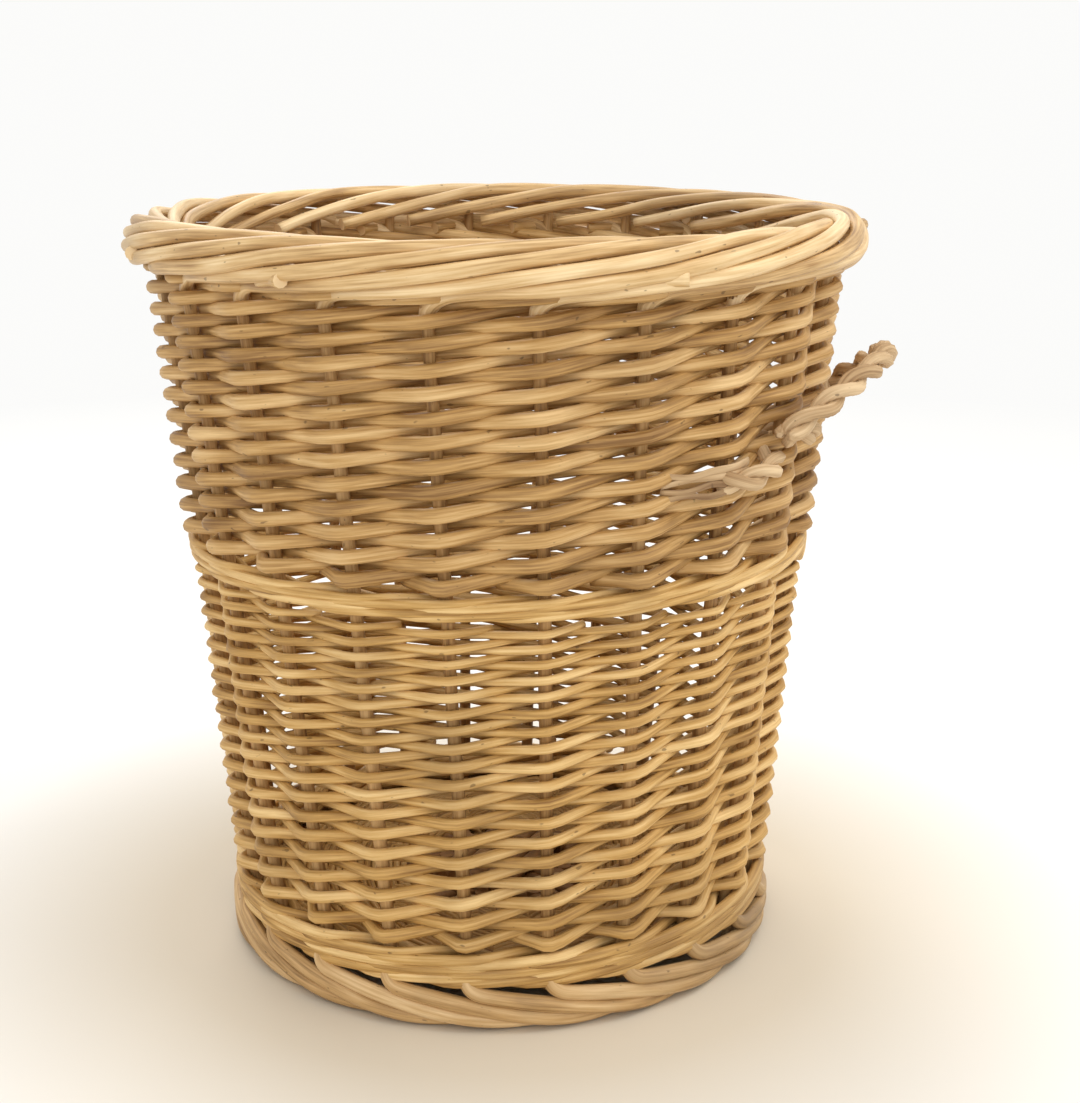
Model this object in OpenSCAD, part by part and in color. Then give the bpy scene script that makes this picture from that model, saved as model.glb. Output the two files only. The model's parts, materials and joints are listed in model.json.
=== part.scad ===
// Round willow log basket: 22 side stakes bound by two bands of randing and three
// wales, a rolled border, a foot border, a slath base and one twisted rope handle.
// The origin is at the centre of the foot, on the floor; +Z is up and +X points to the handle.

/* [Basket] */
// Height over the top border
height = 440; // [380:5:500]
// Outer radius of the top border
border_r = 214; // [205:1:222]
// Outer radius of the foot border
foot_r = 169.5; // [165:0.5:176]
// Radius of the ring of stakes at floor level
stake_ring_r = 151; // [148:0.5:153]
// How far the wall leans outwards for each unit of height
wall_flare = 0.09; // [0.08:0.002:0.096]

/* [Stakes] */
// Number of side stakes
stake_count = 22; // [22]
// Stake diameter at the base
stake_d_low = 8; // [7:0.1:8.4]
// Stake diameter at the border
stake_d_high = 6.6; // [6:0.1:7.4]
// Turn of each stake's foot about the basket's axis, against its top
stake_lean = 4; // [0:0.5:5]

/* [Weaving] */
// Rod diameter at the bottom of the lower weave
lower_rod_low = 7.2; // [6:0.1:7.4]
// Rod diameter at the top of the lower weave
lower_rod_high = 4; // [3.5:0.1:5]
// Rows of rods in the lower weave
lower_rows = 17; // [14:1:18]
// Rod diameter at the bottom of the upper weave
upper_rod_low = 9; // [8:0.1:9.2]
// Rod diameter at the top of the upper weave
upper_rod_high = 7.8; // [7:0.1:8.2]
// Rows of rods in the upper weave
upper_rows = 12; // [10:1:12]
// Rod diameter of the upsett wale above the foot
upsett_rod = 6.4; // [5.5:0.1:6.6]
// Rod diameter of the wale at mid height
wale_rod = 5.6; // [5:0.1:6]

/* [Base] */
// Diameter of a base stick
stick_d = 9; // [8:0.1:9]
// Thickness of the woven base
base_thick = 15; // [14:0.5:15.5]
// Height of the base's middle above the floor
base_z = 20.5; // [20:0.1:21]

/* [Handle] */
// Diameter of the twisted rope
rope_d = 13; // [11:0.5:13.5]
// Distance between the two ends of the rope loop
rope_span = 160; // [156:1:164]
// How far the loop's top lies from the line between its ends
rope_rise = 52; // [45:1:55]
// Height of the loop's ends above the floor
rope_z = 330; // [325:1:335]
// Tilt of the loop above the horizontal
rope_tilt = 38; // [30:1:45]

/* [Hidden] */
$fn = 64;
gap = 0.35;

stake_step = 360 / stake_count;
// A bent rod's knuckle is wider than the rod
knuckle = 1.08;
flare_angle = atan(wall_flare);
function ring_r(z) = stake_ring_r + wall_flare * z;

// Levels of the bands, from the floor up
foot_top = 15.5;
upsett_z = foot_top + gap;
lower_z = 48;
wale_z = 238;
upper_z = 258;
border_z = 414;
stake_top = 428;
// Puts a stake exactly behind the handle's middle at the rope's height
stake_phase = -stake_lean * (1 - rope_z / stake_top);
foot_phase = stake_phase + stake_lean;
leg_end_r = 108;
leg_start_r = ring_r(base_z);

// Half the wall's plain core, around the stakes
core_half = stake_d_low / 2 + 2;

stick_count = stake_count / 2;
split_count = floor(stick_count / 2);
threaded_count = stick_count - split_count;
stick_pitch = stick_d + 1;
stick_end_r = 144;
// Angle from a stake's leg to the base stick beside it
stick_offset = -6;
// A stick's arm tapers to this share of its diameter
stick_taper = 0.85;
// Half lengths of the square crossing at the middle of the base
cross_margin = 12;
cross_x = split_count * stick_pitch / 2 + cross_margin;
cross_y = threaded_count * stick_pitch / 2 + cross_margin;
// Length of the solid wood past each end of a split
split_end = 6;
slath_turn = foot_phase + stick_offset - stake_step / 2;
base_weave_r = 146;
base_hole_r = 66;

rope_arc_r = (pow(rope_span / 2, 2) + pow(rope_rise, 2)) / (2 * rope_rise);
rope_arc_half = asin(rope_span / 2 / rope_arc_r);
rope_axis_x = 184.5;
wrap_d = 10;
wrap_ring_r = 18.5;
// The windows in the upper weave where the rope passes round a stake
window_w = 49;
window_room = 3.2;
window_h = wrap_d + window_room;
window_depth = 40;

function two_digits(n) = str(n < 10 ? "0" : "", n);

// A straight rod from point a to point b, tapering from diameter d1 to d2
module rod(a, b, d1, d2) {
    v = b - a;
    translate(a)
        rotate([0, acos(v[2] / norm(v)), atan2(v[1], v[0])])
            cylinder(h = norm(v), d1 = d1, d2 = d2);
}

function stake_foot(k) = let (a = k * stake_step + foot_phase)
    [leg_start_r * cos(a), leg_start_r * sin(a), base_z];
function stake_tip(k) = let (a = k * stake_step + stake_phase)
    [ring_r(stake_top) * cos(a), ring_r(stake_top) * sin(a), stake_top];

// The rounded knuckle where a rod of diameter d is bent about the Z axis
module bend(d) {
    cylinder(h = d * knuckle, d = d * knuckle, center = true);
}

// The upright part of a stake; grow widens it into the channel that holds it
module stake_upright(k, grow = 0) {
    rod(stake_foot(k), stake_tip(k), stake_d_low + 2 * grow, stake_d_high + 2 * grow);
}

// The foot of a stake: a kinked elbow and a leg that lies in the base
module stake_leg(k) {
    rotate(k * stake_step + foot_phase)
        translate([leg_start_r, 0, base_z]) {
            rotate([90, 0, 0])
                bend(stake_d_low);
            rotate([0, -90, 0])
                cylinder(h = leg_start_r - leg_end_r, d = stake_d_low);
        }
}

// The square channel that holds a stake's elbow and leg
module leg_channel(k) {
    side = stake_d_low * knuckle + 2 * gap;
    rotate(k * stake_step + foot_phase)
        translate([leg_end_r - gap, -side / 2, base_z - side / 2])
            cube([leg_start_r - leg_end_r + side / 2 + gap, side, side]);
}

module stake(k) {
    color("peru") {
        stake_upright(k);
        stake_leg(k);
    }
}

// Section of a woven band: a plain core around the stakes, with a row of rods on each face
module band_section(z0, z1, rows, rod_low, rod_high) {
    pitch_mean = (z1 - z0) / rows;
    shrink = (rod_low - rod_high) / (rod_low + rod_high);
    function row_z(i) = z0 + pitch_mean * i * (1 + shrink * (1 - i / rows));
    polygon([
        [ring_r(z0) - core_half, z0], [ring_r(z0) + core_half, z0],
        [ring_r(z1) + core_half, z1], [ring_r(z1) - core_half, z1]
    ]);
    for (i = [0 : rows - 1]) {
        d = rod_low + (rod_high - rod_low) * (i + 0.5) / rows;
        zc = (row_z(i) + row_z(i + 1)) / 2;
        reach = (stake_d_low + stake_d_high) / 4 + d / 2;
        for (side = [-1, 1])
            translate([ring_r(zc) + side * reach, zc])
                circle(d = d);
    }
}

module woven_band(z0, z1, rows, rod_low, rod_high) {
    difference() {
        rotate_extrude()
            band_section(z0, z1, rows, rod_low, rod_high);
        for (k = [0 : stake_count - 1])
            stake_upright(k, gap);
    }
}

module lower_weave() {
    color("burlywood")
        woven_band(lower_z + gap, wale_z - gap, lower_rows, lower_rod_low, lower_rod_high);
}

module middle_wale() {
    color("tan")
        woven_band(wale_z, upper_z, 3, wale_rod, wale_rod);
}

// The upper band has a window at each rope root, where the rope passes round a stake
module upper_weave() {
    color("wheat")
        difference() {
            woven_band(upper_z + gap, border_z - gap, upper_rows, upper_rod_low, upper_rod_high);
            for (k = [-1, 1])
                rotate(k * stake_step)
                    translate([ring_r(rope_z), 0, rope_z])
                        cube([window_depth, window_w, window_h], center = true);
        }
}

module upsett_wale() {
    color("tan")
        difference() {
            rotate_extrude()
                intersection() {
                    union() {
                        translate([0, -1])
                            band_section(upsett_z, lower_z + 1, 5, upsett_rod, upsett_rod);
                        polygon([
                            [base_weave_r + gap, upsett_z], [ring_r(0) + core_half + 1, upsett_z],
                            [ring_r(lower_z) + core_half, lower_z], [base_weave_r + gap, lower_z]
                        ]);
                    }
                    translate([base_weave_r + gap, upsett_z])
                        square([60, lower_z - upsett_z]);
                }
            for (k = [0 : stake_count - 1]) {
                stake_upright(k, gap);
                leg_channel(k);
            }
        }
}

// Thick rods rolled round the foot: the basket stands on their flat underside
module foot_border() {
    foot_rod = 10;
    // The rods press into each other and into the floor a little
    spacing = foot_rod - 1;
    low_z = foot_rod / 2 - 0.6;
    outer_x = foot_r - foot_rod / 2;
    color("sandybrown")
        rotate_extrude()
            intersection() {
                union() {
                    for (x = [outer_x, outer_x - spacing])
                        for (z = [low_z, foot_top - foot_rod / 2])
                            translate([x, z])
                                circle(d = foot_rod);
                    translate([outer_x - spacing, 0])
                        square([spacing, foot_top]);
                }
                translate([foot_r - 3 * foot_rod, 0])
                    square([3 * foot_rod, foot_top]);
            }
}

// Rods of the rolled rim: a bundle that hides the stakes' tops
module top_border() {
    border_rod = 10;
    rim_x = border_r - border_rod / 2;
    rim_z = height - border_rod / 2;
    color("cornsilk")
        difference() {
            rotate_extrude() {
                for (p = [
                    [rim_x - 6, border_z + 5], [rim_x, border_z + 12], [rim_x - 7, border_z + 18],
                    [rim_x - 15, rim_z], [rim_x - 23, rim_z - 1], [rim_x - 30, border_z + 13],
                    [rim_x - 28, border_z + 6]
                ])
                    translate(p)
                        circle(d = border_rod);
                polygon([
                    [rim_x - 30, border_z + 2], [rim_x - 5, border_z + 1], [rim_x, border_z + 12],
                    [rim_x - 12, rim_z], [rim_x - 24, rim_z], [rim_x - 31, border_z + 13]
                ]);
            }
            for (k = [0 : stake_count - 1])
                rod(stake_foot(k), stake_tip(k) + (stake_tip(k) - stake_foot(k)) * 0.002,
                    stake_d_low + 2 * gap, stake_d_high + 2 * gap);
        }
}

// Where a stick is bent, at the edge of the crossing, and where its arm ends; side is 1 or -1
function threaded_n(i) = i - (threaded_count - 1) / 2;
function split_n(i) = i - (split_count - 1) / 2;
function threaded_bend(i, side) = [side * cross_x, threaded_n(i) * stick_pitch, 0];
function split_bend(i, side) = [split_n(i) * stick_pitch, side * cross_y, 0];
function arm_end(a) = [stick_end_r * cos(a), stick_end_r * sin(a), 0];
function threaded_end(i, side) = arm_end(90 - side * (90 - threaded_n(i) * stake_step));
function split_end_point(i, side) = arm_end(side * (90 - split_n(i) * stake_step));

// Half of a base stick: from its bend a out to its end b
module stick_arm(a, b) {
    translate(a)
        bend(stick_d);
    rod(a, b, stick_d, stick_d * stick_taper);
}

// The square channel in the base's weave that holds the arm from a to b
module arm_channel(a, b) {
    side = stick_d + 2 * gap;
    v = b - a;
    translate(a)
        rotate(atan2(v[1], v[0]))
            translate([0, -side / 2, -side / 2])
                cube([norm(v) + gap, side, side]);
}

// A stick pushed through the split ones
module threaded_stick(i) {
    rod(threaded_bend(i, -1), threaded_bend(i, 1), stick_d, stick_d);
    for (side = [-1, 1])
        stick_arm(threaded_bend(i, side), threaded_end(i, side));
}

// A stick split along its middle, so that two halves clasp the threaded ones
module split_stick(i) {
    slit = stick_d * knuckle + 2 * gap;
    flat = stick_d - 1;
    for (side = [-1, 1])
        translate([split_n(i) * stick_pitch, 0, side * (slit + stick_d) / 2])
            rotate([90, 0, 0])
                cylinder(h = 2 * cross_y, d = stick_d, center = true);
    for (side = [-1, 1]) {
        translate(split_bend(i, side) - [0, side * split_end / 2, 0])
            cube([flat, split_end, slit + stick_d], center = true);
        stick_arm(split_bend(i, side), split_end_point(i, side));
    }
}

module base_stick(i) {
    color("sienna")
        translate([0, 0, base_z])
            rotate(slath_turn) {
                if (i < threaded_count)
                    threaded_stick(i);
                else
                    split_stick(i - threaded_count);
            }
}

// The woven disc round the crossing, with a channel for each stick's arm and stake's leg
module base_weave() {
    color("burlywood")
        difference() {
            translate([0, 0, base_z])
                difference() {
                    cylinder(h = base_thick, r = base_weave_r, center = true);
                    cylinder(h = base_thick + 2, r = base_hole_r, center = true);
                }
            translate([0, 0, base_z])
                rotate(slath_turn)
                    for (side = [-1, 1]) {
                        for (i = [0 : threaded_count - 1])
                            arm_channel(threaded_bend(i, side), threaded_end(i, side));
                        for (i = [0 : split_count - 1])
                            arm_channel(split_bend(i, side), split_end_point(i, side));
                    }
            for (k = [0 : stake_count - 1])
                leg_channel(k);
        }
}

// The stiff rope loop, which swings about the line between its ends
module handle_rope() {
    color("rosybrown")
        translate([rope_axis_x, 0, rope_z])
            rotate([0, -rope_tilt, 0])
                translate([rope_rise - rope_arc_r, 0, 0]) {
                    rotate(-rope_arc_half)
                        rotate_extrude(angle = 2 * rope_arc_half)
                            translate([rope_arc_r, 0])
                                circle(d = rope_d);
                    for (side = [-1, 1])
                        rotate(side * rope_arc_half)
                            translate([rope_arc_r, 0, 0])
                                sphere(d = rope_d);
                }
}

// A turn of the rope's end round one stake, through the wall's window
module handle_wrap(k) {
    color("rosybrown")
        rotate(k * stake_step)
            translate([ring_r(rope_z), 0, rope_z])
                rotate_extrude()
                    translate([wrap_ring_r, 0])
                        circle(d = wrap_d);
}

for (i = [1 : stick_count])
    base_stick(i - 1);
base_weave();
foot_border();
for (i = [1 : stake_count])
    stake(i - 1);
upsett_wale();
lower_weave();
middle_wale();
upper_weave();
top_border();
handle_rope();
handle_wrap(-1);  // handle_wrap_front
handle_wrap(1);  // handle_wrap_back
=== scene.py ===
"""Looks of the willow log basket: every rod of it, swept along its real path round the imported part."""

import json
import math
import random

import bpy
import numpy as np
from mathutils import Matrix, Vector


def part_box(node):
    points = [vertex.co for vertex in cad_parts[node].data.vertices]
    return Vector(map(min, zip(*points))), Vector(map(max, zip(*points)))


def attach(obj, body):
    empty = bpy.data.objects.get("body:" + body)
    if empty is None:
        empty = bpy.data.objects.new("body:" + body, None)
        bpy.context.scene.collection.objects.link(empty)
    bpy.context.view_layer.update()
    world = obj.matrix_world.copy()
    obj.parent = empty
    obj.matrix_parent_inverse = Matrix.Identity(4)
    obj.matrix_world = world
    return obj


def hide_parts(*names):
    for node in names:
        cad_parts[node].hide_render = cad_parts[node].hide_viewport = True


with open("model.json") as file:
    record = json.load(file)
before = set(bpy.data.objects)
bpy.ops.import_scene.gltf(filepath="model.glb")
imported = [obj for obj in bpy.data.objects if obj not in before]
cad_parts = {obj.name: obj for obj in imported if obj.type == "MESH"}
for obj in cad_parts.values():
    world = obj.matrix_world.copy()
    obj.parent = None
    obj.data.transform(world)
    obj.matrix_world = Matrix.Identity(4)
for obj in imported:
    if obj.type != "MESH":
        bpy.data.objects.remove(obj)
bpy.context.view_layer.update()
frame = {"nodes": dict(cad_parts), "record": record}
MM = 0.001

# --- driving dimensions, in metres -------------------------------------------------------------

STAKES = 22
# Degrees from one stake to the next
STEP = 360 / STAKES
# Radius of the ring of stakes at the floor, and how much it grows with height. It is 1.5 mm more
# than the CAD's at the floor and 4 mm more at the rim, to bring the wall's outline nearer to the
# real one, which is wider than the CAD's
RING_R = 152.5 * MM
WALL_FLARE = 0.096
# Degrees by which a stake's foot is turned round from its top
STAKE_LEAN = 4.0
# A stake's thickness at its foot and at its top
STAKE_D = (8.0 * MM, 6.6 * MM)
# How far a weaver swings past a stake, against just touching it
KINK = 1.18

HINGE = [float(v) for v in frame["record"]["behaviour"]["joints"][0]["pos_m"]]


def low(node):
    """Height of a CAD node's underside."""
    return float(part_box(node)[0][2])


def high(node):
    """Height of a CAD node's top."""
    return float(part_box(node)[1][2])


BORDER_R = float(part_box("top_border")[1][0])
BORDER_Z = low("top_border")
RIM_Z = high("top_border")
FOOT_R = float(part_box("foot_border")[1][0])
UPSETT_Z = low("upsett_wale")
LOWER_Z = low("lower_weave")
WALE_Z = low("middle_wale")
UPPER_Z = low("upper_weave")
BASE_LOW = low("base_weave")
BASE_HIGH = high("base_weave")
BASE_Z = (BASE_LOW + BASE_HIGH) / 2
BASE_R = float(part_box("base_weave")[1][0])
STAKE_TOP = high("stake_01")
# Turns the stakes so that they stand evenly about the handle at its height
PHASE = -STAKE_LEAN * (1 - HINGE[2] / STAKE_TOP)


def ring_r(z):
    """Radius of the ring of stakes at height z."""
    return RING_R + WALL_FLARE * z


def stake_angle(t, z):
    """Angle, in degrees, of stake number t (whole or not) at height z."""
    return t * STEP + PHASE + STAKE_LEAN * (1 - z / STAKE_TOP)


def stake_radius(z):
    """Radius of a stake's own section at height z."""
    return (STAKE_D[0] + (STAKE_D[1] - STAKE_D[0]) * z / STAKE_TOP) / 2


def polar(r, degrees, z):
    """The point at radius r, an angle in degrees and height z."""
    a = math.radians(degrees)
    return np.array([r * math.cos(a), r * math.sin(a), z])


# --- swept rods ----------------------------------------------------------------------------------


def smooth(values, passes):
    """Rounds the corners of a list of points."""
    v = np.array(values, dtype=float)
    for _ in range(passes):
        inner = (v[:-2] + 2 * v[1:-1] + v[2:]) / 4
        v[1:-1] = inner
    return v


def curve_through(keys, per_span):
    """Points of a Catmull-Rom curve through the keys."""
    k = np.array(keys, dtype=float)
    k = np.vstack([2 * k[0] - k[1], k, 2 * k[-1] - k[-2]])
    out = []
    for i in range(1, len(k) - 2):
        p0, p1, p2, p3 = k[i - 1], k[i], k[i + 1], k[i + 2]
        for t in np.arange(per_span) / per_span:
            out.append(
                0.5
                * (
                    2 * p1
                    + (p2 - p0) * t
                    + (2 * p0 - 5 * p1 + 4 * p2 - p3) * t**2
                    + (3 * p1 - p0 - 3 * p2 + p3) * t**3
                )
            )
    out.append(k[-2])
    return np.array(out)


def section_frames(path):
    """Tangent, side and up at each point of a path, carried along without twist."""
    tangents = np.gradient(path, axis=0)
    tangents /= np.linalg.norm(tangents, axis=1)[:, None]
    side = np.cross(tangents[0], [0.0, 0.0, 1.0])
    if np.linalg.norm(side) < 0.1:
        side = np.cross(tangents[0], [1.0, 0.0, 0.0])
    sides = []
    for t in tangents:
        side = side - t * np.dot(side, t)
        side = side / np.linalg.norm(side)
        sides.append(side)
    sides = np.array(sides)
    return tangents, sides, np.cross(tangents, sides)


# Radians per metre of the two waves that thicken and thin a rod along its length
WOBBLE_WAVES = (61, 23)


def length_along(path):
    """Distance along a path to each of its points."""
    steps = np.linalg.norm(np.diff(path, axis=0), axis=1)
    return np.concatenate([[0.0], np.cumsum(steps)])


def sweep(name, path, radii, material, sides=10, lobes=None, flatten=1.0, wobble=0.05):
    """A rod along a path. Its attributes give each point's place on the straightened rod.

    lobes is the count, the pitch and the depth of the ridges that wind round the rod.
    """
    path = np.array(path, dtype=float)
    radii = np.broadcast_to(np.array(radii, dtype=float), (len(path),)).copy()
    along = length_along(path)
    draw = random.Random(name)
    start = draw.uniform(0, 40)
    lump = draw.uniform(0, 6.3)
    fast, slow = WOBBLE_WAVES
    radii *= 1 + wobble * np.sin(along * fast + lump) * np.sin(along * slow + 2 * lump)
    _, side, up = section_frames(path)
    turn = np.arange(sides) * 2 * math.pi / sides
    verts, coords = [], []
    for i in range(len(path)):
        r = np.full(sides, radii[i])
        if lobes:
            count, pitch, depth = lobes
            wound = turn + along[i] / pitch * 2 * math.pi
            r = r * (1 - depth * np.abs(np.sin(count / 2 * wound)))
        ring = (
            path[i]
            + np.outer(r * np.cos(turn), side[i])
            + np.outer(r * np.sin(turn) * flatten, up[i])
        )
        verts.extend(ring)
        for a in turn:
            across = radii[i] * math.cos(a) + start
            coords.append((along[i] + start, across, radii[i] * math.sin(a)))
    faces = []
    for i in range(len(path) - 1):
        for j in range(sides):
            a, b = i * sides + j, i * sides + (j + 1) % sides
            faces.append((a, b, b + sides, a + sides))
    last = (len(path) - 1) * sides
    faces.append(tuple(range(sides))[::-1])
    faces.append(tuple(last + j for j in range(sides)))
    mesh = bpy.data.meshes.new(name)
    mesh.from_pydata([tuple(v) for v in verts], [], faces)
    place = mesh.attributes.new("rod_place", "FLOAT_VECTOR", "POINT")
    place.data.foreach_set("vector", np.array(coords, dtype=np.float32).ravel())
    tone = mesh.attributes.new("rod_tone", "FLOAT", "POINT")
    value = draw.random()
    tone.data.foreach_set("value", np.full(len(verts), value, dtype=np.float32))
    ends = mesh.attributes.new("cut_end", "FLOAT", "FACE")
    cut = np.zeros(len(faces), dtype=np.float32)
    cut[-2:] = 1
    ends.data.foreach_set("value", cut)
    mesh.polygons.foreach_set("use_smooth", [True] * (len(faces) - 2) + [False] * 2)
    mesh.materials.append(material)
    mesh.validate()
    piece = bpy.data.objects.new(name, mesh)
    bpy.context.scene.collection.objects.link(piece)
    return piece


# --- materials -----------------------------------------------------------------------------------


def linear(rgb):
    """Linear colour of an sRGB colour with 0-255 channels."""
    out = []
    for c in rgb:
        c = c / 255
        out.append(c / 12.92 if c <= 0.04045 else ((c + 0.055) / 1.055) ** 2.4)
    return (*out, 1.0)


class Nodes:
    """Short names for building a material's nodes."""

    def __init__(self, name):
        self.material = bpy.data.materials.new(name)
        self.material.use_nodes = True
        self.tree = self.material.node_tree
        self.shader = self.tree.nodes["Principled BSDF"]

    def add(self, kind, **settings):
        node = self.tree.nodes.new(kind)
        for key, value in settings.items():
            setattr(node, key, value)
        return node

    def link(self, a, b):
        self.tree.links.new(a, b)

    def attribute(self, name):
        return self.add("ShaderNodeAttribute", attribute_name=name)

    def scaled(self, vector, scale):
        mapping = self.add("ShaderNodeMapping")
        mapping.inputs["Scale"].default_value = scale
        self.link(vector, mapping.inputs["Vector"])
        return mapping.outputs["Vector"]

    def noise(self, vector, scale, detail=3.0, rough=0.55):
        node = self.add("ShaderNodeTexNoise")
        node.inputs["Scale"].default_value = scale
        node.inputs["Detail"].default_value = detail
        node.inputs["Roughness"].default_value = rough
        self.link(vector, node.inputs["Vector"])
        return node.outputs["Fac"]

    def ramp(self, fac, stops):
        node = self.add("ShaderNodeValToRGB")
        elements = node.color_ramp.elements
        while len(elements) < len(stops):
            elements.new(0.5)
        for element, (place, colour) in zip(elements, stops):
            element.position = place
            element.color = colour
        self.link(fac, node.inputs["Fac"])
        return node.outputs["Color"]

    def mix(self, fac, a, b, blend="MIX"):
        node = self.add("ShaderNodeMix", data_type="RGBA", blend_type=blend)
        for value, socket in ((fac, node.inputs[0]), (a, node.inputs[6]), (b, node.inputs[7])):
            if isinstance(value, (int, float, tuple)):
                socket.default_value = value
            else:
                self.link(value, socket)
        return node.outputs[2]

    def math(self, operation, a, b):
        node = self.add("ShaderNodeMath", operation=operation)
        for value, socket in ((a, node.inputs[0]), (b, node.inputs[1])):
            if isinstance(value, (int, float)):
                socket.default_value = value
            else:
                self.link(value, socket)
        return node.outputs[0]


def grey(value):
    """A ramp colour that only carries a value."""
    return (value, value, value, 1.0)


# Noise scales along, across and through a rod, in features per metre
STREAK_SCALE = (26, 620, 620)
PATCH_SCALE = (16, 60, 60)
SPECK_SCALE = (170, 330, 330)
# Streaks of a CAD shape, which has no rod coordinates
CARRIED_SCALE = (90, 90, 90)
SMUDGE_SCALE = 9.0
TONE_SPREAD = 0.16
SPECK_DARKNESS = 0.62
BUMP_DEPTH = 0.5 * MM
SPECULAR = 0.4
# How much smoother and rougher than its usual roughness a rod gets along its streaks
ROUGH_DOWN = 0.12
ROUGH_UP = 0.15

# Each material's colours, sRGB 0-255: dark, middle and pale streaks, stains, cut ends
PALETTES = {
    "upper_willow": (
        (128, 90, 44), (188, 147, 88), (228, 193, 138), (146, 113, 72), (214, 180, 130),
    ),
    "lower_willow": (
        (134, 94, 40), (196, 154, 88), (234, 200, 140), (150, 118, 74), (220, 186, 132),
    ),
    "border_willow": (
        (150, 110, 62), (210, 174, 120), (242, 215, 168), (166, 138, 100), (226, 196, 150),
    ),
    "foot_willow": (
        (126, 92, 50), (188, 150, 98), (220, 188, 140), (132, 110, 80), (190, 158, 112),
    ),
    "stake_willow": (
        (112, 78, 40), (168, 128, 76), (206, 168, 114), (122, 96, 62), (200, 164, 114),
    ),
    "stick_willow": (
        (112, 78, 42), (160, 120, 74), (196, 158, 110), (112, 88, 60), (200, 166, 118),
    ),
    "rope_rush": (
        (122, 90, 58), (180, 148, 108), (218, 190, 150), (150, 124, 96), (206, 178, 140),
    ),
}


def rod_material(name, roughness=0.55, bump=0.25, carried=False):
    """Peeled willow: streaks along the rod, a tone for each rod, stains, specks and cut ends."""
    dark, mid, pale, stain, core = PALETTES[name]
    n = Nodes(name)
    if carried:
        place = n.add("ShaderNodeTexCoord").outputs["Object"]
        stretch = n.scaled(place, CARRIED_SCALE)
    else:
        place = n.attribute("rod_place").outputs["Vector"]
        stretch = n.scaled(place, STREAK_SCALE)
    streaks = n.noise(stretch, 1.0, detail=4.0)
    patches = n.noise(n.scaled(place, PATCH_SCALE), 1.0, detail=2.0)
    specks = n.noise(n.scaled(place, SPECK_SCALE), 1.0, detail=1.0)
    object_place = n.add("ShaderNodeTexCoord").outputs["Object"]
    smudge = n.noise(object_place, SMUDGE_SCALE, detail=3.0)
    tone = n.attribute("rod_tone").outputs["Fac"]
    base = n.math("ADD", n.math("MULTIPLY", streaks, 0.55), n.math("MULTIPLY", patches, 0.45))
    base = n.math("ADD", base, n.math("MULTIPLY", n.math("SUBTRACT", tone, 0.5), TONE_SPREAD))
    colour = n.ramp(base, [(0.3, linear(dark)), (0.48, linear(mid)), (0.68, linear(pale))])
    stained = n.ramp(smudge, [(0.52, grey(0)), (0.74, grey(0.55))])
    colour = n.mix(stained, colour, linear(stain))
    dots = n.ramp(specks, [(0.22, grey(0.6)), (0.27, grey(0))])
    colour = n.mix(dots, colour, linear([c * SPECK_DARKNESS for c in dark]))
    cut = n.attribute("cut_end").outputs["Fac"]
    colour = n.mix(cut, colour, linear(core))
    n.link(colour, n.shader.inputs["Base Color"])
    rough = n.add("ShaderNodeMapRange")
    rough.inputs["To Min"].default_value = roughness - ROUGH_DOWN
    rough.inputs["To Max"].default_value = roughness + ROUGH_UP
    n.link(streaks, rough.inputs["Value"])
    n.link(rough.outputs["Result"], n.shader.inputs["Roughness"])
    height = n.math("ADD", n.math("MULTIPLY", streaks, 0.6), n.math("MULTIPLY", specks, 0.4))
    bumps = n.add("ShaderNodeBump")
    bumps.inputs["Strength"].default_value = bump
    bumps.inputs["Distance"].default_value = BUMP_DEPTH
    n.link(height, bumps.inputs["Height"])
    n.link(bumps.outputs["Normal"], n.shader.inputs["Normal"])
    n.shader.inputs["Specular IOR Level"].default_value = SPECULAR
    return n.material


upper_willow = rod_material("upper_willow")
lower_willow = rod_material("lower_willow")
border_willow = rod_material("border_willow", roughness=0.45)
foot_willow = rod_material("foot_willow", roughness=0.5)
stake_willow = rod_material("stake_willow")
stick_willow = rod_material("stick_willow", carried=True)
rope_rush = rod_material("rope_rush", roughness=0.75, bump=0.5)


# --- the weave -------------------------------------------------------------------------------------

# Points on a weaver from one stake to the next
SAMPLES = 7
# A weaver's two ends stop between stakes: steps in from the stake beyond, share of the swing
TUCK = 0.55
TUCK_REACH = 0.9
# How much a weaver is pinched halfway between two stakes
PINCH = 0.1
# Weavers closer than this to the rope's height, in front of its gap, give way by this much
WINDOW_HIGH = 9 * MM
WINDOW_GIVE = 2.5 * MM
# How unevenly a weaver lies, up or down and in or out
ROW_JITTER = 0.5 * MM
SWING_JITTER = 0.4 * MM
# Rows of weavers, and a weaver's thickness at the start and at the end
UPPER_ROWS = 12
UPPER_ROD = (8.5 * MM, 7.6 * MM)
LOWER_ROWS = 17
LOWER_ROD = (7.6 * MM, 4.6 * MM)
# Rounds, rod thickness and climb of the two wales
WALE = (2, 5.2 * MM, 9 * MM)
UPSETT = (3, 6.6 * MM, 16.5 * MM)
UPSETT_LIFT = 3 * MM
WALE_JITTER = 0.1 * MM
# Clear space between a waling rod and a stake
WALE_GAP = 0.2 * MM
# The part of a waling rod's round over which it swings behind a stake
WALE_SWING = 0.28


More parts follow.
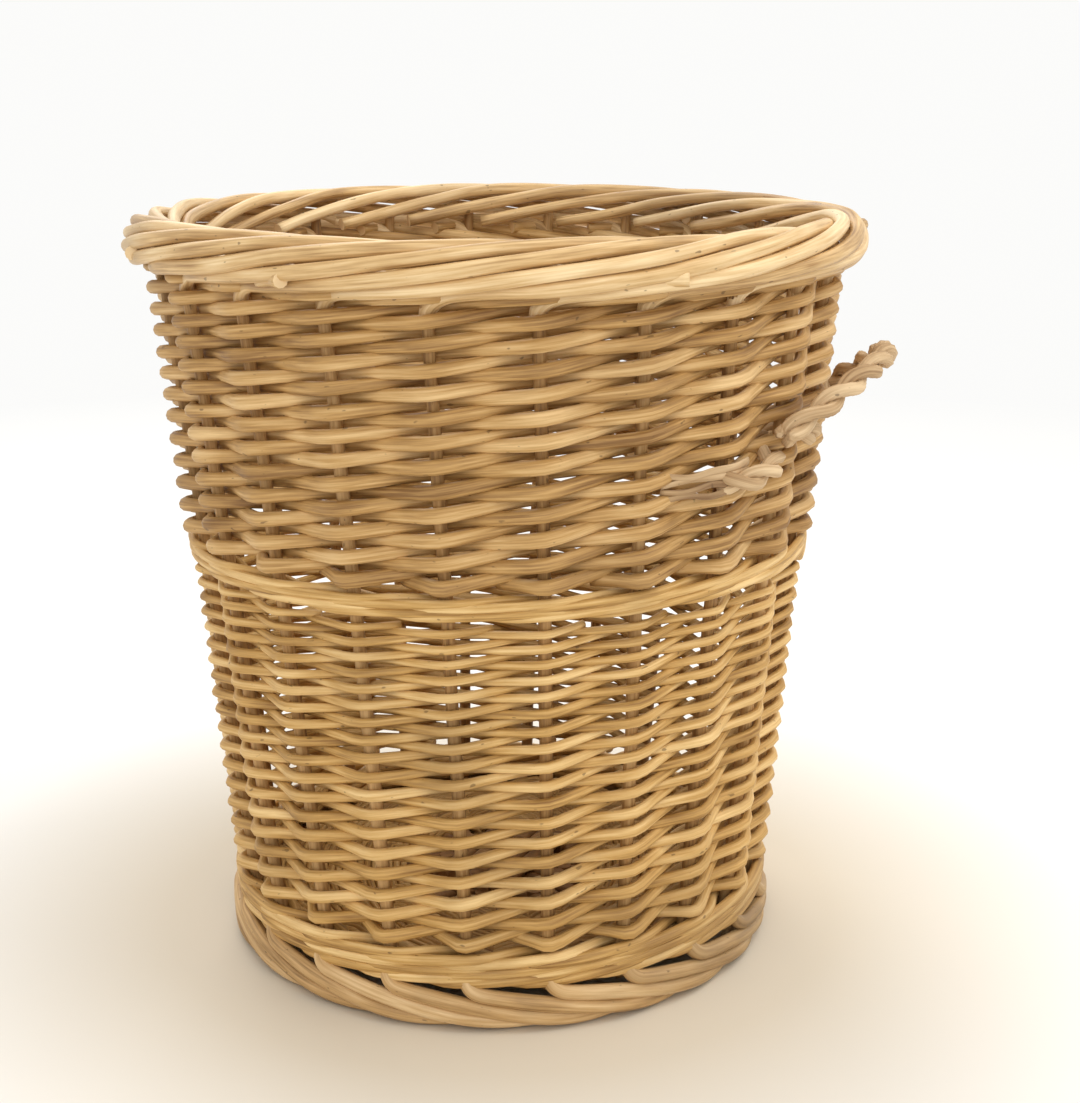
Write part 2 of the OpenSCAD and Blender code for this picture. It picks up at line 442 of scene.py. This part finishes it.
def randing(prefix, z_low, z_high, rows, rod, material, windows=()):
    """French randing: one rod starts at each stake, goes in front of one and behind the next."""
    rod_low, rod_high = rod
    strokes = 2 * rows
    shrink = (rod_low - rod_high) / (rod_low + rod_high)
    pitch = (z_high - z_low) / rows

    def row_z(i):
        """Height of row i; the rows get closer as the rods get thinner."""
        return z_low + pitch * i * (1 + shrink * (1 - i / rows))

    pieces = []
    for k in range(STAKES):
        draw = random.Random(f"{prefix}{k}")
        points = []
        radii = []
        crossings = []
        last = strokes + 1
        for s in range(-1, last + 1):
            h = min(max(s, 0), strokes) / strokes
            r = (rod_low + (rod_high - rod_low) * h) / 2
            z = row_z(0.25 + h * (rows - 0.5)) + draw.uniform(-ROW_JITTER, ROW_JITTER)
            side = 1 if s % 2 == 0 else -1
            reach = side * (stake_radius(z) + r) * KINK
            reach += draw.uniform(-SWING_JITTER, SWING_JITTER)
            angle = stake_angle(k + s, z)
            if s == -1:
                angle += TUCK * STEP
                reach *= TUCK_REACH
            if s == last:
                angle -= TUCK * STEP
                reach *= TUCK_REACH
            for window_angle, window_z, half in windows:
                near = (angle - window_angle + 180) % 360 - 180
                if abs(near) < half and abs(z - window_z) < WINDOW_HIGH:
                    z += math.copysign(WINDOW_GIVE, z - window_z)
            crossings.append((polar(ring_r(z) + reach, angle, z), r))
        for (a, ra), (b, rb) in zip(crossings, crossings[1:]):
            for i in range(SAMPLES):
                t = i / SAMPLES
                points.append(a + (b - a) * t)
                pinch = 1 - PINCH * math.sin(math.pi * t) ** 2
                radii.append((ra + (rb - ra) * t) * pinch)
        points.append(crossings[-1][0])
        radii.append(crossings[-1][1])
        pieces.append(
            sweep(f"{prefix}_{k + 1:02d}", smooth(points, 1), radii, material)
        )
    return pieces


def ease(t):
    """A smooth step from 0 to 1."""
    return 3 * t**2 - 2 * t**3


def waling(prefix, z_low, wale, material):
    """Three-rod waling: each rod goes in front of two stakes and behind one."""
    rounds, rod_d, spread = wale
    pieces = []
    total = rounds * STAKES
    for m in range(3):
        draw = random.Random(f"{prefix}{m}")
        points = []
        for i in range(total * SAMPLES + 1):
            t = i / SAMPLES
            p = ((t + m) % 3) / 3
            behind = max(0.0, 1 - min(p, 1 - p) / WALE_SWING)
            if 1 / 6 < p < 5 / 6:
                rise = (p - 0.5) * 3
            else:
                q = p - 1 if p > 0.5 else p
                rise = -q * 6
            z = z_low + rod_d * 1.05 + spread * (t / total) + rise * rod_d * 0.5
            out = stake_radius(z) + rod_d / 2 + WALE_GAP
            reach = out * (1 - 2 * ease(behind))
            jitter = draw.uniform(-WALE_JITTER, WALE_JITTER)
            points.append(polar(ring_r(z) + reach, stake_angle(t, z), z + jitter))
        pieces.append(
            sweep(f"{prefix}_{m + 1}", smooth(points, 2), rod_d / 2, material)
        )
    return pieces


# The rods of each CAD node that stays with the basket
basket_pieces = {}
# Half the width, in degrees, of the gap that the weavers leave for the rope
WINDOW_HALF = 9.0
windows = [(k * STEP, HINGE[2], WINDOW_HALF) for k in (-1, 1)]
basket_pieces["upper_weave"] = randing(
    "upper_rod", UPPER_Z, BORDER_Z, UPPER_ROWS, UPPER_ROD, upper_willow, windows
)
basket_pieces["lower_weave"] = randing(
    "lower_rod", LOWER_Z, WALE_Z, LOWER_ROWS, LOWER_ROD, lower_willow
)
basket_pieces["middle_wale"] = waling("wale_rod", WALE_Z, WALE, lower_willow)
basket_pieces["upsett_wale"] = waling(
    "upsett_rod", UPSETT_Z + UPSETT_LIFT, UPSETT, lower_willow
)


# --- stakes ----------------------------------------------------------------------------------------

STAKE_SPANS = 16
# How far a stake's drawn top stays inside the border
STAKE_TUCK = 6 * MM


def side_stake(k):
    """A stake: its leg in the base, the bend at the foot and the upright up into the border."""
    draw = random.Random(f"stake{k}")
    foot_r = ring_r(BASE_Z)
    leg = (108 * MM, 125 * MM, foot_r - 9 * MM)
    keys = [polar(r, stake_angle(k, 0), BASE_Z) for r in leg]
    keys.append(polar(foot_r - 1.5 * MM, stake_angle(k, BASE_Z), BASE_Z + 2.5 * MM))
    for i in range(1, STAKE_SPANS + 1):
        z = BASE_Z + (STAKE_TOP - STAKE_TUCK - BASE_Z) * i / STAKE_SPANS
        r = ring_r(z) + draw.uniform(-0.3, 0.3) * MM
        angle = stake_angle(k, z) + draw.uniform(-0.1, 0.1)
        keys.append(polar(r, angle, z))
    path = curve_through(keys, 4)
    radii = np.linspace(STAKE_D[0], STAKE_D[1], len(path)) / 2
    return sweep(f"stake_rod_{k + 1:02d}", path, radii, stake_willow)


for k in range(STAKES):
    basket_pieces[f"stake_{k + 1:02d}"] = [side_stake(k)]


# --- borders -----------------------------------------------------------------------------------------

BORDER_ROD = 9.2 * MM
FOOT_ROD = 9.6 * MM
# Path of a border rod: steps along, inward from the edge and down from the top, in rods
BORDER_KEYS = (
    (0.0, 2.55, 4.8), (0.01, 2.45, 3.8), (0.2, 2.1, 3.1), (0.6, 1.35, 2.8), (1.2, 0.7, 2.5),
    (2.0, 0.38, 1.9), (2.9, 0.55, 1.1), (3.8, 1.3, 0.56), (4.7, 2.3, 0.55), (5.5, 3.1, 1.1),
    (6.2, 3.45, 1.9), (6.8, 3.6, 2.6),
)
# Path of a foot rod: steps along, inward from the foot's edge and up from the floor, in rods
FOOT_KEYS = (
    (-0.12, 1.15, 3.6), (-0.02, 0.85, 3.0), (0.07, 0.6, 2.45), (0.27, 0.52, 2.15), (0.9, 0.5, 1.65),
    (1.6, 0.5, 1.0), (2.2, 0.62, 0.62), (2.8, 1.1, 0.53), (3.5, 1.9, 0.56),
)


def top_rod(k):
    """A stake's top, rolled over into the border."""
    draw = random.Random(f"border{k}")
    keys = []
    for u, inward, down in BORDER_KEYS:
        # A rod lies looser the further it is from its own stake
        loose = min(1.0, 0.3 + u / 2)
        r = BORDER_R - inward * BORDER_ROD + draw.uniform(-1.4, 0.7) * MM * loose
        z = RIM_Z - down * BORDER_ROD + draw.uniform(-1.3, 0.4) * MM * loose
        keys.append(polar(r, stake_angle(k + u + draw.uniform(-0.09, 0.09) * loose, z), z))
    path = curve_through(keys, 6)
    thick = BORDER_ROD * draw.uniform(0.88, 1.02)
    radii = np.linspace(thick, thick * 0.84, len(path)) / 2
    return sweep(f"border_rod_{k + 1:02d}", path, radii, border_willow, sides=12)


def foot_rod(k):
    """A rod of the foot border: down beside a stake, then along under the next ones."""
    draw = random.Random(f"foot{k}")
    keys = []
    for u, inward, up in FOOT_KEYS:
        r = FOOT_R - inward * FOOT_ROD - draw.uniform(0.0, 0.5) * MM
        z = up * FOOT_ROD + draw.uniform(0.0, 0.5) * MM
        keys.append(polar(r, stake_angle(k + u, z), z))
    path = curve_through(keys, 6)
    radii = np.linspace(FOOT_ROD * 0.98, FOOT_ROD * 0.9, len(path)) / 2
    return sweep(f"foot_rod_{k + 1:02d}", path, radii, foot_willow, sides=12)


# Cut ends that stick out of the border: angle in steps, rise and length in millimetres
STUBS = (
    (0.7, 9, 24), (1.6, 2, 20), (4.2, 3, 26), (8.6, 1, 22), (13.1, 2, 26), (15.4, -1, 24),
    (18.8, 0, 22),
)


def border_stub(m):
    """The cut end of a rod pushed into the border beside a stake."""
    u, rise, length = STUBS[m]
    turned = u * STEP + math.degrees(length * MM / BORDER_R)
    start = polar(BORDER_R - 14 * MM, u * STEP, BORDER_Z + (2 + rise) * MM)
    end = polar(BORDER_R - 1 * MM, turned, BORDER_Z + (5 + rise) * MM)
    path = curve_through([start, (start + end) / 2 + np.array([0, 0, 1 * MM]), end], 4)
    return sweep(f"border_stub_{m + 1}", path, BORDER_ROD * 0.42, border_willow)


basket_pieces["top_border"] = [top_rod(k) for k in range(STAKES)]
basket_pieces["top_border"] += [border_stub(m) for m in range(len(STUBS))]
basket_pieces["foot_border"] = [foot_rod(k) for k in range(STAKES)]


# --- base --------------------------------------------------------------------------------------------

PAIRING_D = 4.6 * MM
PAIRING_START = 60 * MM
# Half a base stick's thickness, which a pairing rod clears above and below
PAIRING_REACH = 4.5 * MM
# Points on a pairing rod from one stick to the next
PAIRING_SAMPLES = 3
BASE_STICKS = 11


def pairing_rod(m):
    """One of the two rods paired round the base's sticks, above one and below the next."""
    rounds = (BASE_R - PAIRING_D / 2 - PAIRING_START) / PAIRING_D
    count = int(rounds * STAKES)
    points = []
    for i in range(count * PAIRING_SAMPLES + 1):
        t = i / PAIRING_SAMPLES
        r = PAIRING_START + PAIRING_D * t / STAKES
        reach = (PAIRING_REACH + PAIRING_D / 2) * math.cos(math.pi * (t + m))
        points.append(polar(r, t * STEP + PHASE, BASE_Z + reach))
    return sweep(
        f"base_rod_{m + 1}", smooth(points, 1), PAIRING_D / 2, lower_willow, sides=7
    )


basket_pieces["base_weave"] = [pairing_rod(m) for m in range(2)]

for number in range(1, BASE_STICKS + 1):
    stick = frame["nodes"][f"base_stick_{number:02d}"]
    stick.data.materials.clear()
    stick.data.materials.append(stick_willow)


# --- rope handle ---------------------------------------------------------------------------------

ROPE_D = 13.6 * MM
ROPE_SPAN = 160 * MM
ROPE_RISE = 52 * MM
ROPE_TILT = math.radians(38)
LOOP_SPANS = 96
PLY_COUNT = 2
# A ply's radius as a share of the rope's, and the share of it that stays within the rope's edge
PLY_SIZE = 0.58
PLY_INSET = 0.86
# Length of one full turn of the loop's plies
LAY = 44 * MM
# How much of a ply's radius is left at its very end
END_SIZE = 0.45
ROOT_D = 12.6 * MM
ROOT_LAY = 38 * MM


def plies(prefix, path, rope_d, material, lay):
    """The twisted plies of a rope along a path, each a bundle of rush with ridges of its own."""
    path = np.array(path)
    along = length_along(path)
    _, side, up = section_frames(path)
    ply_r = rope_d / 2 * PLY_SIZE
    centre_r = rope_d / 2 - ply_r * PLY_INSET
    out = []
    for m in range(PLY_COUNT):
        turn = along / lay * 2 * math.pi + m * 2 * math.pi / PLY_COUNT
        line = (
            path
            + side * (centre_r * np.cos(turn))[:, None]
            + up * (centre_r * np.sin(turn))[:, None]
        )
        # A ply's two ends are rounded over, like rush tucked back into the rope
        edge = np.minimum(along, along[-1] - along) / ply_r
        radii = ply_r * np.sqrt(np.clip(1 - (1 - np.minimum(edge, 1)) ** 2, END_SIZE**2, 1))
        out.append(
            sweep(
                f"{prefix}_{m + 1}", line, radii, material,
                sides=20, lobes=(5, 70 * MM, 0.16), wobble=0.04,
            )
        )
    return out


def rope_loop():
    """The loop between the two roots, an arc tilted about the line between its ends."""
    arc_r = ((ROPE_SPAN / 2) ** 2 + ROPE_RISE**2) / (2 * ROPE_RISE)
    half = math.asin(ROPE_SPAN / 2 / arc_r)
    points = []
    for i in range(LOOP_SPANS + 1):
        a = -half + 2 * half * i / LOOP_SPANS
        out = arc_r * math.cos(a) + ROPE_RISE - arc_r
        across = arc_r * math.sin(a)
        points.append(
            (
                HINGE[0] + out * math.cos(ROPE_TILT),
                HINGE[1] + across,
                HINGE[2] + out * math.sin(ROPE_TILT),
            )
        )
    return points


# The rope's way from the loop's end round a stake, from the stake's axis: along the wall towards
# the loop's end, outwards and up, in millimetres
ROOT_KEYS = (
    (17, 12.5, -2), (-1, 16.5, -3), (-16, 9, -4), (-17, -5, -6), (-2, -14, -9), (15, -6, -12),
    (23, 8, -14), (36, 13, -16), (48, 12, -18), (58, 5, -20), (62, -5, -21),
)


def rope_root(side):
    """The rope's end, turned round a stake through the wall and laid back along it."""
    centre = polar(ring_r(HINGE[2]), side * STEP, HINGE[2])
    outward = polar(1, side * STEP, 0)
    along = polar(1, side * (STEP + 90), 0)
    keys = [(HINGE[0], side * ROPE_SPAN / 2, HINGE[2])]
    for a, out, up in ROOT_KEYS:
        keys.append(centre + (along * a + outward * out + np.array([0, 0, up])) * MM)
    return curve_through(keys, 8)


loop_pieces = plies("rope_loop_ply", rope_loop(), ROPE_D, rope_rush, LAY)
for node, side in (("handle_wrap_front", -1), ("handle_wrap_back", 1)):
    basket_pieces[node] = plies(f"{node}_ply", rope_root(side), ROOT_D, rope_rush, ROOT_LAY)


# Path of a rush strip: steps round the wall from the handle's middle, millimetres outwards
TAIL_KEYS = ((-1.8, 9), (-2.05, 12), (-2.3, 11), (-2.55, 8.5), (-2.8, 3))
TAIL_COUNT = 4
TAIL_DROP = 11 * MM
TAIL_SPACING = 4 * MM
# How much a strip sinks from one stake to the next
TAIL_FALL = 4 * MM


def rope_tail(m):
    """A flat strip of rush left over from the front root, tucked along the wall."""
    draw = random.Random(f"tail{m}")
    z = HINGE[2] - TAIL_DROP - TAIL_SPACING * m
    start = TAIL_KEYS[0][0]
    keys = []
    for u, out in TAIL_KEYS:
        height = z + draw.uniform(-1.5, 1.5) * MM + (u - start) * TAIL_FALL
        keys.append(polar(ring_r(z) + out * MM, u * STEP, height))
    path = curve_through(keys, 6)
    radii = np.linspace(1.0 * MM, 0.6 * MM, len(path))
    return sweep(f"rope_tail_{m + 1}", path, radii, rope_rush, flatten=2.4)


basket_pieces["handle_wrap_front"] += [rope_tail(m) for m in range(TAIL_COUNT)]

for node, pieces in basket_pieces.items():
    for piece in pieces:
        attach(piece, "basket")
    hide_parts(node)
for piece in loop_pieces:
    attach(piece, "handle")
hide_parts("handle_rope")


# --- floor, light and camera -------------------------------------------------------------------------

FLOOR_SIZE = 14.0
# Where the floor has faded into the white background
GLOW_R = 1.9
SKY = (1.0, 0.998, 0.985, 1)
SKY_STRENGTH = 0.97
# Colours of the floor, sRGB 0-255: a painted shade round the basket's foot (beige, standing in for the
# contact shadow and warm bounce light there), and the floor's own colour away from it
FLOOR_PAINTED_SHADE = (214, 204, 186)
FLOOR_FAR = (238, 236, 232)
# Name, place, target, size, power and colour of each light
LIGHTS = (
    ("key", (1.3, 0.2, 2.2), (0, 0, 0.25), 1.8, 20, (1.0, 0.97, 0.92)),
    ("fill", (0.8, -2.4, 1.5), (0, 0, 0.2), 2.4, 13, (1.0, 0.98, 0.95)),
    ("back", (-1.2, 1.6, 2.0), (0, 0, 0.3), 1.6, 22, (1.0, 0.99, 0.97)),
)
CAMERA_LENS = 59.8
CAMERA_PLACE = (0.3237, -1.0054, 0.5192)
CAMERA_DROP = math.radians(15.24)
CAMERA_HEADING = math.radians(16.5)


def studio_floor():
    """A floor with a painted shade round the basket's foot, that glows more and more with distance to
    fade into the white background.
    """
    bpy.ops.mesh.primitive_plane_add(size=FLOOR_SIZE, location=(0, 0, 0))
    floor = bpy.context.object
    floor.name = "studio_floor"
    n = Nodes("pale_floor")
    place = n.add("ShaderNodeTexCoord").outputs["Object"]
    away = n.add("ShaderNodeVectorMath", operation="LENGTH")
    n.link(place, away.inputs[0])
    far = n.math("MULTIPLY", away.outputs["Value"], 1 / GLOW_R)
    # Painted shade: the floor is beige out to about 0.2 m from the middle, standing in for contact
    # shadow and warm bounce light, and reaches its own colour at about 0.4 m
    floor_with_painted_shade = n.ramp(far, [(0.11, linear(FLOOR_PAINTED_SHADE)), (0.21, linear(FLOOR_FAR))])
    glow = n.ramp(far, [(0.25, grey(0.0)), (1.0, grey(1.0))])
    n.link(floor_with_painted_shade, n.shader.inputs["Base Color"])
    n.shader.inputs["Roughness"].default_value = 0.7
    light = n.add("ShaderNodeEmission")
    light.inputs["Color"].default_value = SKY
    light.inputs["Strength"].default_value = SKY_STRENGTH
    blend = n.add("ShaderNodeMixShader")
    output = n.tree.nodes["Material Output"]
    n.link(glow, blend.inputs[0])
    n.link(n.shader.outputs[0], blend.inputs[1])
    n.link(light.outputs[0], blend.inputs[2])
    n.link(blend.outputs[0], output.inputs["Surface"])
    floor.data.materials.append(n.material)


def area_light(name, place, target, size, power, colour):
    """A round lamp at a place, turned towards a target."""
    data = bpy.data.lights.new(name, "AREA")
    data.shape = "DISK"
    data.size = size
    data.energy = power
    data.color = colour
    light = bpy.data.objects.new(name, data)
    light.location = place
    light.rotation_euler = (Vector(target) - Vector(place)).to_track_quat("-Z", "Y").to_euler()
    bpy.context.scene.collection.objects.link(light)


def studio_camera():
    """The camera, looking down at the basket from a little to the right of its front."""
    data = bpy.data.cameras.new("camera")
    data.lens = CAMERA_LENS
    data.sensor_fit = "HORIZONTAL"
    data.sensor_width = 36
    camera = bpy.data.objects.new("camera", data)
    camera.location = CAMERA_PLACE
    camera.rotation_euler = (math.pi / 2 - CAMERA_DROP, 0, CAMERA_HEADING)
    bpy.context.scene.collection.objects.link(camera)
    bpy.context.scene.camera = camera


studio_floor()
world = bpy.data.worlds.new("studio")
world.use_nodes = True
background = world.node_tree.nodes["Background"]
background.inputs["Color"].default_value = SKY
background.inputs["Strength"].default_value = SKY_STRENGTH
bpy.context.scene.world = world
for light in LIGHTS:
    area_light(*light)
studio_camera()
bpy.context.scene.view_settings.view_transform = "Standard"
